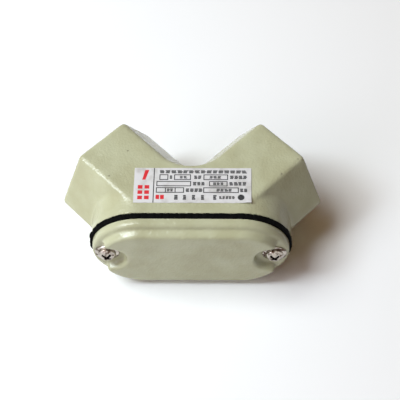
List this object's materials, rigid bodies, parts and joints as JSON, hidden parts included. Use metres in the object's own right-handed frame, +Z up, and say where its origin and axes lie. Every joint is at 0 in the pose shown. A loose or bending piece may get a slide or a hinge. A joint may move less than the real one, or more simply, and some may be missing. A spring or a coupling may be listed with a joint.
{
  "type": "explosion-proof junction box",
  "caption": "Right-angle explosion-proof junction box: hexagonal threaded conduit hubs meet behind a flanged opening closed by a gasket and a screwed cover.",
  "frame": {"origin": "on the base, under the middle of the whole object's bounding box", "axes": "+Z up from the hub flats it lies on, the cover looks along -Y, the hubs leave to the back left and back right at 45 degrees to +Y, +X to the right seen from the cover's side"},
  "size_m": [0.1074, 0.0618, 0.0421],
  "materials": {
    "enamel": "semi-gloss grey-green enamel on cast aluminium, with a light orange peel",
    "rubber": "dull black sheet rubber with cut edges",
    "plated_steel": "bright nickel-plated steel",
    "foil": "silver-white satin foil, printed"
  },
  "bodies": {
    "housing": {"body": "enamel", "gasket": "rubber", "label": "foil"},
    "cover": {"cover": "enamel"},
    "washer_left": {"flat_washer_left": "plated_steel"},
    "screw_left": {"screw_left": "plated_steel"},
    "washer_right": {"flat_washer_right": "plated_steel"},
    "screw_right": {"screw_right": "plated_steel"}
  },
  "joints": [
    {"name": "cover_slide", "type": "slide", "parent": "housing", "child": "cover", "axis": [0, -1, 0], "range_m": [0, 0.04]},
    {"name": "washer_left_slide", "type": "slide", "parent": "cover", "child": "washer_left", "axis": [0, -1, 0], "range_m": [0, 0.0056]},
    {"name": "screw_left_turn", "type": "hinge", "parent": "washer_left", "child": "screw_left", "pos_m": [-0.034, -0.02796, 0.021], "axis": [0, -1, 0], "range_deg": [0, 2880]},
    {"name": "washer_right_slide", "type": "slide", "parent": "cover", "child": "washer_right", "axis": [0, -1, 0], "range_m": [0, 0.0056]},
    {"name": "screw_right_turn", "type": "hinge", "parent": "washer_right", "child": "screw_right", "pos_m": [0.034, -0.02796, 0.021], "axis": [0, -1, 0], "range_deg": [0, 2880]}
  ],
  "couplings": [
    {"joint": "screw_left_turn", "follows": "washer_left_slide", "rad_per_m": 8976},
    {"joint": "screw_right_turn", "follows": "washer_right_slide", "rad_per_m": 8976}
  ]
}
